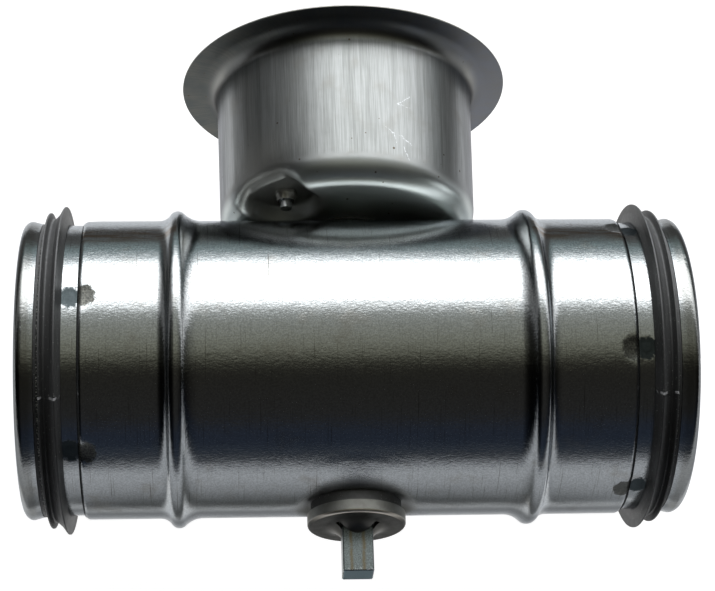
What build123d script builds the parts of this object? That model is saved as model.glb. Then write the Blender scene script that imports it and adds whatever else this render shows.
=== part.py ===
# Volume control damper for round duct, lying on its side.
# X runs along the duct, Y runs up the spindle towards the handle cup, Z is the third direction.
# The origin is where the duct axis and the spindle axis cross. Lengths are in millimetres.
from build123d import *
import os
from math import atan, cos, degrees, radians, sin, sqrt

os.makedirs("parts", exist_ok=True)

# Duct shell: one rolled sheet with two beads
duct_d = 79.2
duct_sheet = 0.5
shell_nip = 1.1
bead_spacing = 92.2
bead_inner_run = 4.6
bead_outer_run = 3.7
bead_height = 2.3
bead_crest_r = 1.5

# Spigot collars: pressed rings with a seal groove and a rolled nose
overall_length = 172.8
collar_overlap = 12.0
collar_drop = 0.55
collar_fit = 0.05
collar_gap = 3.95
groove_width = 6.9
groove_depth = 1.5
nose_length = 4.9
nose_rise = 0.4
nose_d = 79.2
nose_radius = 2.2
nose_face = 1.3
nose_curl = 0.9

# Lip seals: two thin rubber lips that lean towards the middle, beside a low rim
seal_fit = 0.05
seal_rim = 1.2
high_lip = 4.95
high_lip_place = 0.7
low_lip = 3.35
low_lip_place = 4.8
lip_valley = 1.2
lip_undercut = 0.6
lip_root = 0.4
lip_tip = 0.4

# Pressed bearing seats in the shell, above and below
seat_height = 38.5
seat_flat_d = 25.6
seat_skirt_d = 31.5

# Handle cup: drawn sheet with a turned-out flange
cup_sheet = 0.5
cup_foot_d = 69.8
cup_draft = 0.8
cup_corner = 6.1
cup_depth = 45.8
flange_width = 9.7
flange_bend = 4.7

# Pocket pressed up into the cup floor for the locking nut
lock_share = 0.702
lock_angle = 45.0
pocket_depth = 4.2
pocket_place_share = 0.736
pocket_share = 0.252
pocket_slope = 20.0
pocket_bend_run = 3.2
pocket_bend_rise = 4.8

# Shaft and its two bearings
shaft_width = 8.0
shaft_edge = 0.5
shaft_below = 57.6
square_fit = 0.05
journal_r = 7.0
journal_gap = 0.05
sleeve_wall = 1.95
sleeve_flange_r = 11.6
sleeve_flange_t = 1.2
sleeve_fit = 0.05
end_play = 0.3

# Upper side: seal washer, clamp ring, bush head
washer_r = 11.5
clamp_ring_r = 11.8
clamp_ring_t = 1.8
sleeve_lip = 0.4
bush_head_r = 9.2

# Lower side: seal ring and push-on retaining cap
seal_ring_r = 11.8
cap_d = 25.6
cap_sheet = 0.8
cap_rim_height = 3.35
cap_face = 44.75
cap_edge = 0.9
cap_play = 0.3
funnel_r = 9.2
funnel_drop = 3.05
slit_r = 7.4
slit_width = 1.5

# Blade with its channel, clamps and rivets
blade_gap = 0.5
blade_sheet = 1.0
blade_end_gap = 0.8
clamp_length = 14.0
clamp_place = 21.0
clamp_half_width = 14.0
clamp_fit = 0.05
rivet_r = 2.0
rivet_head_r = 3.5
rivet_head_t = 1.2
rivet_offset = 9.6
rivet_fit = 0.05

# Lever with its arc slot and finger tab
lever_t = 2.0
lever_hub_r = 10.5
lever_gap = 0.1
quadrant_travel = 90.0
quadrant_margin_angle = 11.0
slot_rim = 2.8
slot_half_width = 2.3
window_share = 0.415
window_half_width = 2.2
window_travel = 50.0
tab_share = 0.874
tab_width = 13.0
tab_height = 15.0
tab_corner = 3.0

# Screws, washers and the rivet nut
lock_screw_r = 1.95
lock_tip_r = 1.55
lock_tip_length = 2.2
lock_reach = 4.7
lock_bore_fit = 0.1
nut_flange_r = 4.3
nut_flange_t = 0.8
nut_body_r = 2.9
nut_end_r = 2.45
nut_body_length = 2.6
nut_fit = 0.05
plain_washer_t = 1.0
lock_washer_r = 5.0
wing_hub_r = 4.0
wing_hub_height = 6.0
wing_span = 18.0
wing_height = 11.0
wing_t = 1.8
hub_washer_r = 8.0
hub_screw_r = 2.45
hub_screw_length = 12.0
hub_head_r = 4.7
hub_head_t = 3.0
hub_socket_r = 1.75
hub_hole_fit = 0.1

# Places worked out from the sizes above
duct_r = duct_d / 2
bore_r = duct_r - duct_sheet
duct_end = overall_length / 2
groove_outer = duct_end - nose_length
groove_inner = groove_outer - groove_width
shell_end = groove_inner - collar_gap
collar_seat_r = bore_r - collar_fit
collar_r = collar_seat_r - collar_drop
groove_r = collar_r - groove_depth
seat_inside = seat_height - duct_sheet
cup_base = duct_r
cup_floor = cup_base + cup_sheet
flange_top = cup_base + cup_depth
flange_under = flange_top - cup_sheet
foot_r = cup_foot_d / 2
mouth_r = foot_r + cup_draft
flange_r = mouth_r + flange_width
lock_radius = foot_r * lock_share
lock_x = -lock_radius * sin(radians(lock_angle))
lock_z = lock_radius * cos(radians(lock_angle))
pocket_ceiling = cup_base + pocket_depth
pocket_top = pocket_ceiling + cup_sheet
pocket_place_x = lock_x * pocket_place_share / lock_share
pocket_place_z = lock_z * pocket_place_share / lock_share
pocket_r = foot_r * pocket_share
window_r = foot_r * window_share
tab_radius = foot_r * tab_share
nut_top = pocket_top + nut_flange_t
lever_base = nut_top + lever_gap
lever_top = lever_base + lever_t
shaft_top = lever_top - lever_gap
shaft_hole = shaft_width + 2 * square_fit
sleeve_bore_r = journal_r + journal_gap
sleeve_r = sleeve_bore_r + sleeve_wall
wall_hole_r = sleeve_r + sleeve_fit
sleeve_flange_inner = seat_inside - sleeve_flange_t
journal_inner = sleeve_flange_inner - end_play
clamp_ring_top = cup_floor + clamp_ring_t
cap_inside = cap_face - cap_sheet
cap_r = cap_d / 2
blade_r = bore_r - blade_gap
blade_half_height = journal_inner - blade_end_gap + end_play
channel_half = shaft_width / 2 + clamp_fit
lock_washer_base = lever_top + lever_gap
lock_washer_top = lock_washer_base + plain_washer_t
hub_washer_top = lever_top + plain_washer_t


def around_spindle(height):
    """The plane across the spindle at a height: its x is X, its y is -Z and its normal is +Y."""
    return Plane(origin=(0, height, 0), x_dir=(1, 0, 0), z_dir=(0, 1, 0))


def lock_plane(height):
    """The same plane with its origin on the locking screw's axis."""
    return Plane(origin=(lock_x, height, lock_z), x_dir=(1, 0, 0), z_dir=(0, 1, 0))


# Duct shell
inner_turn = degrees(2 * atan(bead_height / bead_inner_run))
outer_turn = degrees(2 * atan(bead_height / bead_outer_run))
inner_foot_r = bead_inner_run / sin(radians(inner_turn)) - bead_crest_r
outer_foot_r = bead_outer_run / sin(radians(outer_turn)) - bead_crest_r
seat_run = (seat_skirt_d - seat_flat_d) / 2
skirt_drop = seat_height - sqrt(duct_r**2 - (seat_skirt_d / 2) ** 2)
skirt_slope = degrees(atan(seat_run / skirt_drop))


def shell_body(inset):
    """The solid inside one face of the rolled sheet: inset 0 is the outer face."""
    with BuildPart() as body:
        with BuildSketch(Plane.XY):
            with BuildLine():
                straight = Line((0, duct_r - inset), (bead_spacing / 2 - bead_inner_run, duct_r - inset))
                rise = JernArc(straight @ 1, (1, 0), inner_foot_r + inset, inner_turn)
                crest = JernArc(rise @ 1, rise % 1, bead_crest_r - inset, -inner_turn - outer_turn)
                fall = JernArc(crest @ 1, crest % 1, outer_foot_r + inset, outer_turn)
                Polyline(
                    fall @ 1,
                    (shell_end - shell_nip, duct_r - inset),
                    (shell_end, duct_r - collar_drop - inset),
                    (shell_end, 0),
                    (0, 0),
                    straight @ 0,
                )
            make_face()
        revolve(axis=Axis.X)
        mirror(about=Plane.YZ)
        for side in (1, -1):
            with BuildSketch(around_spindle(side * (seat_height - inset))):
                Circle(seat_flat_d / 2)
            extrude(amount=side * duct_r, taper=-skirt_slope, mode=Mode.SUBTRACT)
            with BuildSketch(around_spindle(side * (seat_height - inset))):
                Circle(seat_flat_d / 2)
            extrude(amount=-side * skirt_drop, taper=-skirt_slope)
    return body.part


shell_space = shell_body(duct_sheet)

with BuildPart() as duct_shell:
    add(shell_body(0))
    add(shell_space, mode=Mode.SUBTRACT)
    with BuildSketch(around_spindle(0)):
        Circle(wall_hole_r)
    extrude(amount=duct_r, both=True, mode=Mode.SUBTRACT)
duct_shell.part.label = "duct_shell"
export_step(duct_shell.part, "parts/duct_shell.step")


# Spigot collars
with BuildPart() as spigot_collar_right:
    with BuildSketch(Plane.XY):
        with BuildLine():
            body_line = Polyline(
                (shell_end - collar_overlap, collar_seat_r),
                (shell_end - shell_nip, collar_seat_r),
                (shell_end, collar_r),
                (groove_inner, collar_r),
                (groove_inner, groove_r),
                (groove_outer, groove_r),
                (groove_outer, collar_r + nose_rise),
                (duct_end - nose_radius, nose_d / 2),
            )
            nose = JernArc(body_line @ 1, (1, 0), nose_radius, -90)
            face_line = Line(nose @ 1, nose @ 1 + (0, -nose_face))
            JernArc(face_line @ 1, (0, -1), nose_curl, -90)
            offset(amount=duct_sheet, side=Side.RIGHT, closed=True)
        make_face()
    revolve(axis=Axis.X)
spigot_collar_right.part.label = "spigot_collar_right"
export_step(spigot_collar_right.part, "parts/spigot_collar_right.step")

with BuildPart() as spigot_collar_left:
    mirror(spigot_collar_right.part, about=Plane.YZ)
spigot_collar_left.part.label = "spigot_collar_left"
export_step(spigot_collar_left.part, "parts/spigot_collar_left.step")

# Lip seals
with BuildPart() as lip_seal_right:
    with BuildSketch(Plane.XY):
        with BuildLine():
            Polyline(
                (groove_inner + seal_fit, groove_r + seal_fit),
                (groove_outer - seal_fit, groove_r + seal_fit),
                (groove_outer - seal_fit, collar_r + nose_rise - seal_fit),
                (groove_outer - seal_rim, collar_r + nose_rise - seal_fit),
                (groove_inner + low_lip_place + lip_tip, collar_r + low_lip),
                (groove_inner + low_lip_place, collar_r + low_lip),
                (groove_inner + low_lip_place - lip_undercut, collar_r + lip_valley),
                (groove_inner + high_lip_place + lip_tip, collar_r + high_lip),
                (groove_inner + high_lip_place, collar_r + high_lip),
                (groove_inner + seal_fit, collar_r + lip_root),
                close=True,
            )
        make_face()
    revolve(axis=Axis.X)
lip_seal_right.part.label = "lip_seal_right"
export_step(lip_seal_right.part, "parts/lip_seal_right.step")

with BuildPart() as lip_seal_left:
    mirror(lip_seal_right.part, about=Plane.YZ)
lip_seal_left.part.label = "lip_seal_left"
export_step(lip_seal_left.part, "parts/lip_seal_left.step")


# Handle cup
def cup_body(inset):
    """The solid inside one face of the drawn sheet: inset 0 is the outer face."""
    pocket_edge = foot_r - pocket_bend_run
    with BuildPart() as pocket:
        with BuildSketch(Plane.XY):
            with BuildLine():
                ceiling = Line((0, pocket_ceiling + inset), (pocket_edge, pocket_ceiling + inset))
                bend = EllipticalCenterArc(
                    (pocket_edge, pocket_ceiling + pocket_bend_rise),
                    pocket_bend_run - inset,
                    pocket_bend_rise - inset,
                    start_angle=270,
                    arc_size=90,
                )
                Polyline(
                    bend @ 1,
                    (flange_r, pocket_ceiling + pocket_bend_rise),
                    (flange_r, cup_base - cup_sheet),
                    (0, cup_base - cup_sheet),
                    ceiling @ 0,
                )
            make_face()
        revolve(axis=Axis.Y)
        with BuildSketch(
            Plane(
                origin=(pocket_place_x, pocket_ceiling + inset, pocket_place_z),
                x_dir=(1, 0, 0),
                z_dir=(0, 1, 0),
            )
        ) as outline:
            Circle(pocket_r + inset)
        with BuildPart(mode=Mode.PRIVATE) as cone:
            extrude(outline.sketch, amount=-2 * pocket_depth, taper=-pocket_slope)
            extrude(outline.sketch, amount=2 * pocket_depth, taper=pocket_slope)
        add(cone.part, mode=Mode.INTERSECT)
    with BuildPart() as body:
        with BuildSketch(Plane.XY):
            with BuildLine():
                wall = FilletPolyline(
                    (0, cup_base + inset),
                    (foot_r - inset, cup_base + inset),
                    (mouth_r - inset, flange_under + inset),
                    (flange_r, flange_under + inset),
                    radius=[cup_corner - inset, flange_bend + inset],
                )
                Polyline(
                    wall @ 1,
                    (flange_r, flange_top + inset),
                    (0, flange_top + inset),
                    wall @ 0,
                )
            make_face()
        revolve(axis=Axis.Y)
        add(pocket.part, mode=Mode.SUBTRACT)
    return body.part


with BuildPart() as handle_cup:
    add(cup_body(0))
    add(cup_body(cup_sheet), mode=Mode.SUBTRACT)
    with BuildSketch(around_spindle(cup_base)):
        Circle(wall_hole_r)
    extrude(amount=cup_sheet, mode=Mode.SUBTRACT)
    with BuildSketch(lock_plane(pocket_ceiling)):
        Circle(nut_body_r + nut_fit)
    extrude(amount=cup_sheet, mode=Mode.SUBTRACT)
handle_cup.part.label = "handle_cup"
export_step(handle_cup.part, "parts/handle_cup.step")

# Upper bearing
sleeve_top = clamp_ring_top + sleeve_lip

with BuildPart() as upper_bearing_sleeve:
    with BuildSketch(Plane.XY):
        with BuildLine():
            Polyline(
                (sleeve_bore_r, sleeve_flange_inner),
                (sleeve_flange_r, sleeve_flange_inner),
                (sleeve_flange_r, seat_inside),
                (sleeve_r, seat_inside),
                (sleeve_r, sleeve_top),
                (sleeve_bore_r, sleeve_top),
                close=True,
            )
        make_face()
    revolve(axis=Axis.Y)
upper_bearing_sleeve.part.label = "upper_bearing_sleeve"
export_step(upper_bearing_sleeve.part, "parts/upper_bearing_sleeve.step")

with BuildPart() as upper_seal_washer:
    with BuildSketch(around_spindle(seat_height)):
        Circle(washer_r)
        Circle(wall_hole_r, mode=Mode.SUBTRACT)
    extrude(amount=cup_base - seat_height)
upper_seal_washer.part.label = "upper_seal_washer"
export_step(upper_seal_washer.part, "parts/upper_seal_washer.step")

with BuildPart() as upper_clamp_ring:
    with BuildSketch(around_spindle(cup_floor)):
        Circle(clamp_ring_r)
        Circle(wall_hole_r, mode=Mode.SUBTRACT)
    extrude(amount=clamp_ring_t)
    chamfer(edges().filter_by(GeomType.CIRCLE).sort_by(SortBy.RADIUS)[-2:], clamp_ring_t / 5)
upper_clamp_ring.part.label = "upper_clamp_ring"
export_step(upper_clamp_ring.part, "parts/upper_clamp_ring.step")

with BuildPart() as upper_journal_bush:
    with BuildSketch(Plane.XY):
        with BuildLine():
            Polyline(
                (0, journal_inner),
                (journal_r, journal_inner),
                (journal_r, sleeve_top + end_play),
                (bush_head_r, sleeve_top + end_play),
                (bush_head_r, lever_base),
                (0, lever_base),
                close=True,
            )
        make_face()
    revolve(axis=Axis.Y)
    with BuildSketch(around_spindle(journal_inner)):
        Rectangle(shaft_hole, shaft_hole)
    extrude(amount=lever_base - journal_inner, mode=Mode.SUBTRACT)
upper_journal_bush.part.label = "upper_journal_bush"
export_step(upper_journal_bush.part, "parts/upper_journal_bush.step")

# Lower bearing
lower_stop = cap_inside - cap_play

with BuildPart() as lower_bearing_sleeve:
    with BuildSketch(Plane.XY):
        with BuildLine():
            Polyline(
                (sleeve_bore_r, -sleeve_flange_inner),
                (sleeve_flange_r, -sleeve_flange_inner),
                (sleeve_flange_r, -seat_inside),
                (sleeve_r, -seat_inside),
                (sleeve_r, -lower_stop),
                (sleeve_bore_r, -lower_stop),
                close=True,
            )
        make_face()
    revolve(axis=Axis.Y)
lower_bearing_sleeve.part.label = "lower_bearing_sleeve"
export_step(lower_bearing_sleeve.part, "parts/lower_bearing_sleeve.step")

with BuildPart() as lower_seal_ring:
    with BuildSketch(around_spindle(-seat_height)):
        Circle(seal_ring_r)
        Circle(wall_hole_r, mode=Mode.SUBTRACT)
    extrude(amount=seat_height - lower_stop)
lower_seal_ring.part.label = "lower_seal_ring"
export_step(lower_seal_ring.part, "parts/lower_seal_ring.step")

with BuildPart() as lower_journal_bush:
    with BuildSketch(around_spindle(-cap_inside)):
        Circle(journal_r)
        Rectangle(shaft_hole, shaft_hole, mode=Mode.SUBTRACT)
    extrude(amount=cap_inside - journal_inner)
lower_journal_bush.part.label = "lower_journal_bush"
export_step(lower_journal_bush.part, "parts/lower_journal_bush.step")

# Retaining cap: a pressed ring whose funnel grips the square shaft
funnel_run = funnel_r - shaft_width / 2 + 2 * square_fit
funnel_bend = (funnel_run**2 + funnel_drop**2) / (2 * funnel_drop)
funnel_turn = degrees(2 * atan(funnel_drop / funnel_run))

with BuildPart() as retaining_cap:
    with BuildSketch(Plane.XY):
        with BuildLine():
            under = JernArc((funnel_r, -cap_face), (-1, 0), funnel_bend, funnel_turn)
            over = JernArc((funnel_r, -cap_inside), (-1, 0), funnel_bend + cap_sheet, funnel_turn)
            Line(under @ 1, over @ 1)
            rim = FilletPolyline(
                under @ 0,
                (cap_r, -cap_face),
                (cap_r, cap_rim_height - cap_face),
                radius=cap_edge,
            )
            Polyline(
                rim @ 1,
                (cap_r - cap_sheet, cap_rim_height - cap_face),
                (cap_r - cap_sheet, -cap_inside),
                over @ 0,
            )
        make_face()
    revolve(axis=Axis.Y)
    with BuildSketch(around_spindle(-cap_face - funnel_drop)):
        Rectangle(shaft_hole, shaft_hole)
        with PolarLocations(slit_r / 2, 4, start_angle=45):
            Rectangle(slit_r, slit_width)
    extrude(amount=funnel_drop + cap_rim_height, mode=Mode.SUBTRACT)
retaining_cap.part.label = "retaining_cap"
export_step(retaining_cap.part, "parts/retaining_cap.step")

# Square shaft
with BuildPart() as square_shaft:
    with BuildSketch(around_spindle(-shaft_below)):
        Rectangle(shaft_width, shaft_width)
        fillet(vertices(), shaft_edge)
    extrude(amount=shaft_below + shaft_top)
    ends = faces().filter_by(Axis.Y).sort_by(Axis.Y)
    chamfer(ends[0].edges() + ends[-1].edges(), shaft_edge / 2)
    with Locations(around_spindle(shaft_top)):
        Hole(hub_screw_r + hub_hole_fit, depth=hub_screw_length)
square_shaft.part.label = "square_shaft"
export_step(square_shaft.part, "parts/square_shaft.step")

# Blade: a disc with a channel pressed over half of the shaft
with BuildPart() as blade:
    with BuildSketch(around_spindle(-blade_half_height)):
        Rectangle(blade_sheet, 2 * blade_r, align=(Align.MIN, Align.CENTER))
        Rectangle(
            channel_half + blade_sheet,
            2 * (channel_half + blade_sheet),
            align=(Align.MIN, Align.CENTER),
        )
        Rectangle(channel_half, 2 * channel_half, align=(Align.MIN, Align.CENTER), mode=Mode.SUBTRACT)
    extrude(amount=2 * blade_half_height)
    with BuildSketch(Plane.YZ):
        Circle(blade_r)
    extrude(amount=channel_half + 2 * blade_sheet, both=True, mode=Mode.INTERSECT)
    with BuildSketch(Plane.YZ):
        with GridLocations(2 * clamp_place, 2 * rivet_offset, 2, 2):
            Circle(rivet_r + rivet_fit)
    extrude(amount=blade_sheet, mode=Mode.SUBTRACT)
blade.part.label = "blade"
export_step(blade.part, "parts/blade.step")

for clamp_name, clamp_height in (("blade_clamp_upper", clamp_place), ("blade_clamp_lower", -clamp_place)):
    with BuildPart() as blade_clamp:
        with BuildSketch(around_spindle(clamp_height - clamp_length / 2)):
            Rectangle(
                channel_half + blade_sheet,
                2 * (channel_half + blade_sheet),
                align=(Align.MAX, Align.CENTER),
            )
            Rectangle(
                clamp_fit + blade_sheet,
                2 * clamp_half_width,
                align=(Align.MAX, Align.CENTER),
            )
            Rectangle(channel_half, 2 * channel_half, align=(Align.MAX, Align.CENTER), mode=Mode.SUBTRACT)
            Rectangle(clamp_fit, 2 * clamp_half_width, align=(Align.MAX, Align.CENTER), mode=Mode.SUBTRACT)
        extrude(amount=clamp_length)
        with BuildSketch(Plane.YZ):
            with Locations((clamp_height, rivet_offset), (clamp_height, -rivet_offset)):
                Circle(rivet_r + rivet_fit)
        extrude(amount=-2 * blade_sheet, mode=Mode.SUBTRACT)
    blade_clamp.part.label = clamp_name
    export_step(blade_clamp.part, f"parts/{clamp_name}.step")

with BuildPart() as blade_rivets:
    with BuildSketch(Plane.YZ.offset(blade_sheet)):
        with GridLocations(2 * clamp_place, 2 * rivet_offset, 2, 2):
            Circle(rivet_head_r)
    extrude(amount=rivet_head_t, taper=45)
    with BuildSketch(Plane.YZ.offset(blade_sheet)):
        with GridLocations(2 * clamp_place, 2 * rivet_offset, 2, 2):
            Circle(rivet_r)
    extrude(amount=-2 * blade_sheet - clamp_fit)
    with BuildSketch(Plane.YZ.offset(-blade_sheet - clamp_fit)):
        with GridLocations(2 * clamp_place, 2 * rivet_offset, 2, 2):
            Circle(rivet_head_r)
    extrude(amount=-rivet_head_t, taper=45)
blade_rivets.part.label = "blade_rivets"
export_step(blade_rivets.part, "parts/blade_rivets.step")

# Lever: a quadrant with an arc slot on one side of the shaft and a finger tab on the other
slot_start = -90 - lock_angle
slot_middle = slot_start + quadrant_travel / 2
quadrant_r = lock_radius + slot_half_width + slot_rim
arm_x = -cos(radians(slot_middle))
arm_z = sin(radians(slot_middle))

with BuildPart() as lever:
    with BuildSketch(around_spindle(lever_base)):
        with BuildLine():
            edge = CenterArc(
                (0, 0),
                quadrant_r,
                slot_start - quadrant_margin_angle,
                quadrant_travel + 2 * quadrant_margin_angle,
            )
            Polyline(edge @ 1, (0, 0), edge @ 0)
        make_face()
        Circle(lever_hub_r)
        with PolarLocations(tab_radius / 2, 1, start_angle=slot_middle + 180):
            Rectangle(tab_radius, tab_width)
        SlotArc(
            CenterArc((0, 0), lock_radius, slot_start, quadrant_travel),
            2 * slot_half_width,
            mode=Mode.SUBTRACT,
        )
        SlotArc(
            CenterArc((0, 0), window_r, slot_middle - window_travel / 2, window_travel),
            2 * window_half_width,
            mode=Mode.SUBTRACT,
        )
        Rectangle(shaft_hole, shaft_hole, mode=Mode.SUBTRACT)
    extrude(amount=lever_t)
    with BuildSketch(
        Plane(
            origin=(tab_radius * arm_x, lever_base, tab_radius * arm_z),
            x_dir=(0, 1, 0),
            z_dir=(arm_x, 0, arm_z),
        )
    ):
        Rectangle(tab_height, tab_width, align=(Align.MIN, Align.CENTER))
        fillet(vertices().sort_by(Axis.Y)[-2:], tab_corner)
    extrude(amount=-lever_t)
lever.part.label = "lever"
export_step(lever.part, "parts/lever.step")

with BuildPart() as hub_washer:
    with BuildSketch(around_spindle(lever_top)):
        Circle(hub_washer_r)
        Circle(hub_screw_r + hub_hole_fit, mode=Mode.SUBTRACT)
    extrude(amount=plain_washer_t)
hub_washer.part.label = "hub_washer"
export_step(hub_washer.part, "parts/hub_washer.step")

with BuildPart() as hub_screw:
    with BuildSketch(around_spindle(hub_washer_top)):
        Circle(hub_head_r)
    extrude(amount=hub_head_t)
    fillet(edges().sort_by(Axis.Y)[-1], hub_head_t / 2)
    with BuildSketch(around_spindle(hub_washer_top)):
        Circle(hub_screw_r)
    extrude(amount=-(hub_washer_top - shaft_top + hub_screw_length - hub_hole_fit))
    with BuildSketch(around_spindle(hub_washer_top + hub_head_t)):
        RegularPolygon(hub_socket_r, 6)
    extrude(amount=-hub_head_t / 2, mode=Mode.SUBTRACT)
hub_screw.part.label = "hub_screw"
export_step(hub_screw.part, "parts/hub_screw.step")

# Rivet nut in the pocket
with BuildPart() as rivet_nut:
    with BuildSketch(lock_plane(pocket_top)):
        Circle(nut_flange_r)
    extrude(amount=nut_flange_t)
    with BuildSketch(lock_plane(pocket_top)):
        Circle(nut_body_r)
    extrude(amount=-cup_sheet)
    with BuildSketch(lock_plane(pocket_ceiling)):
        Circle(nut_body_r)
    extrude(
        amount=-nut_body_length,
        taper=degrees(atan((nut_body_r - nut_end_r) / nut_body_length)),
    )
    with BuildSketch(lock_plane(nut_top)):
        Circle(lock_screw_r + lock_bore_fit)
    extrude(amount=-nut_flange_t - cup_sheet - nut_body_length, mode=Mode.SUBTRACT)
rivet_nut.part.label = "rivet_nut"
export_step(rivet_nut.part, "parts/rivet_nut.step")

# Locking wing screw and its washer
with BuildPart() as locking_washer:
    with BuildSketch(lock_plane(lock_washer_base)):
        Circle(lock_washer_r)
        Circle(lock_screw_r + lock_bore_fit, mode=Mode.SUBTRACT)
    extrude(amount=plain_washer_t)
locking_washer.part.label = "locking_washer"
export_step(locking_washer.part, "parts/locking_washer.step")

tip_end = pocket_ceiling - lock_reach
wing_circle_r = wing_height / 4

with BuildPart() as locking_screw:
    with BuildSketch(lock_plane(lock_washer_top)):
        Circle(wing_hub_r)
    extrude(amount=wing_hub_height, taper=8)
    with BuildSketch(lock_plane(lock_washer_top)):
        Circle(lock_screw_r)
    extrude(amount=tip_end + lock_tip_length - lock_washer_top)
    with BuildSketch(lock_plane(tip_end)):
        Circle(lock_tip_r)
    extrude(amount=lock_tip_length)
    for wing_side in (1, -1):
        with BuildSketch(
            Plane(
                origin=(lock_x, lock_washer_top, lock_z),
                x_dir=(lock_z * wing_side / lock_radius, 0, -lock_x * wing_side / lock_radius),
                z_dir=(lock_x * wing_side / lock_radius, 0, lock_z * wing_side / lock_radius),
            )
        ):
            with Locations((wing_hub_r / 2, wing_hub_height / 2)):
                Circle(wing_hub_height / 2 - lever_gap)
            with Locations((wing_span / 2 - wing_circle_r, wing_height - wing_circle_r)):
                Circle(wing_circle_r)
            make_hull()
        extrude(amount=wing_t / 2, both=True)
locking_screw.part.label = "locking_screw"
export_step(locking_screw.part, "parts/locking_screw.step")
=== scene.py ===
import bmesh
import bpy
import math
import numpy as np
from mathutils import Matrix


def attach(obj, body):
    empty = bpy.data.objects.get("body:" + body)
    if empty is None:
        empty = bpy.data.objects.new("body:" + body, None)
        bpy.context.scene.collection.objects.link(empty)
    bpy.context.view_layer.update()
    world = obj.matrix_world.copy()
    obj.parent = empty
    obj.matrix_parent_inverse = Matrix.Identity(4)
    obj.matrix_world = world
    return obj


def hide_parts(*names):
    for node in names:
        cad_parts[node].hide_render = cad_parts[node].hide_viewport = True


MM = 0.001

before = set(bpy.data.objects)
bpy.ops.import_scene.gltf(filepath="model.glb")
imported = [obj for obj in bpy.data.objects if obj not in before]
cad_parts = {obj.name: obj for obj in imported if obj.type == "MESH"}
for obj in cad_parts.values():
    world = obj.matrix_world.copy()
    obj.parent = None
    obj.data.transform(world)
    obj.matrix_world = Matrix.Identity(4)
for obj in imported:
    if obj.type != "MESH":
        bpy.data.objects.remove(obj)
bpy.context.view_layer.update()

# Camera, fitted to the photograph
CAMERA_RIGHT = (0.99838, -0.02958, 0.04853)
CAMERA_UP = (0.00683, 0.91007, 0.41430)
CAMERA_BACK = (-0.05640, -0.41330, 0.90880)
CAMERA_PLACE = (-0.03114, -0.22272, 0.53658)
CAMERA_LENS_MM = 109.27
SENSOR_WIDTH_MM = 36.0

# Floor: a white sheet under the damper on a darker grey table
FLOOR_LEVEL = -0.0454
FLOOR_HALF_SIZE = 4.0
SHEET_MIDDLE = (0.0, 0.048, FLOOR_LEVEL)
SHEET_HALF_SIZE = (0.124, 0.100)
SHEET_FADE = 0.014
SHEET_COLOUR = (0.40, 0.40, 0.40)
TABLE_COLOURS = ((0.08, 0.085, 0.10), (0.90, 0.91, 0.96), (0.20, 0.195, 0.19))
SHEET_LIFT = 0.97
# The table's colours change between these places along Y
TABLE_FADES = ((-0.60, -0.24), (0.0, 0.15))

# Light round the duct, by degrees from straight up towards the cup
LIGHT_BANDS = (
    (-180, (0.366, 0.378, 0.403)),
    (-96, (0.244, 0.256, 0.281)),
    (-90, (0.0549, 0.0671, 0.0854)),
    (-84, (0.022, 0.0293, 0.0451)),
    (-72, (0.0244, 0.0317, 0.0488)),
    (-60, (0.0268, 0.0268, 0.0268)),
    (-24, (0.0244, 0.0232, 0.0195)),
    (-17, (0.045, 0.044, 0.034)),
    (-12.5, (0.125, 0.125, 0.095)),
    (-9, (0.195, 0.195, 0.155)),
    (-2, (0.255, 0.26, 0.215)),
    (14, (0.35, 0.362, 0.335)),
    (24, (0.45, 0.475, 0.465)),
    (34, (3.17, 3.23, 3.29)),
    (63, (3.17, 3.23, 3.29)),
    (72, (0.671, 0.732, 0.756)),
    (82, (0.268, 0.342, 0.354)),
    (95, (0.22, 0.27, 0.27)),
    (180, (0.366, 0.378, 0.403)),
)
# The same light along the duct, by the direction's share of X
LIGHT_SPREAD = (
    (-1.0, 0.05),
    (-0.7, 0.06),
    (-0.45, 0.30),
    (-0.2, 1.0),
    (0.3, 0.95),
    (0.7, 0.60),
    (0.9, 0.24),
    (1.0, 0.20),
)

# Sizes shared with the part's source, in millimetres
DUCT_R_MM = 39.6
COLLAR_R_MM = 38.5
CUP_BASE_MM = 39.6
CUP_SHEET_MM = 0.5
CUP_HOLE_R_MM = 9.05
CUP_FOOT_R_MM = 34.9
CUP_MOUTH_R_MM = 35.7
CUP_CORNER_MM = 6.1
FLANGE_BEND_MM = 4.7
FLANGE_R_MM = 45.4
FLANGE_UNDER_MM = 84.9
POCKET_CEILING_MM = 43.8
POCKET_PLACE_MM = (-18.16, 18.16)
LOCK_PLACE_MM = (-17.32, 17.32)

# Lip seals: outline corners (place along the duct, radius, rounding), for the right-hand end
SEAL_OUTLINE_MM = (
    (74.65, 37.05, 0.0),
    (81.45, 37.05, 0.0),
    (81.45, 38.85, 0.25),
    (80.25, 38.80, 0.25),
    (79.55, 41.85, 0.16),
    (79.15, 41.85, 0.16),
    (78.65, 39.70, 0.45),
    (76.60, 41.60, 2.00),
    (75.35, 43.45, 0.16),
    (74.95, 43.45, 0.14),
    (75.00, 41.20, 2.00),
    (74.65, 38.90, 0.20),
)
SEAL_LEAN_MM = 0.85
CREASE_MM = (80.3, 39.3)
SEAL_SEAM_ANGLE = -32.0
SEAL_SEAM_DEPTH_MM = 0.18
SEAL_SEAM_WIDTH_MM = 0.16
SEAL_TIP_R_MM = 41.4

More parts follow.
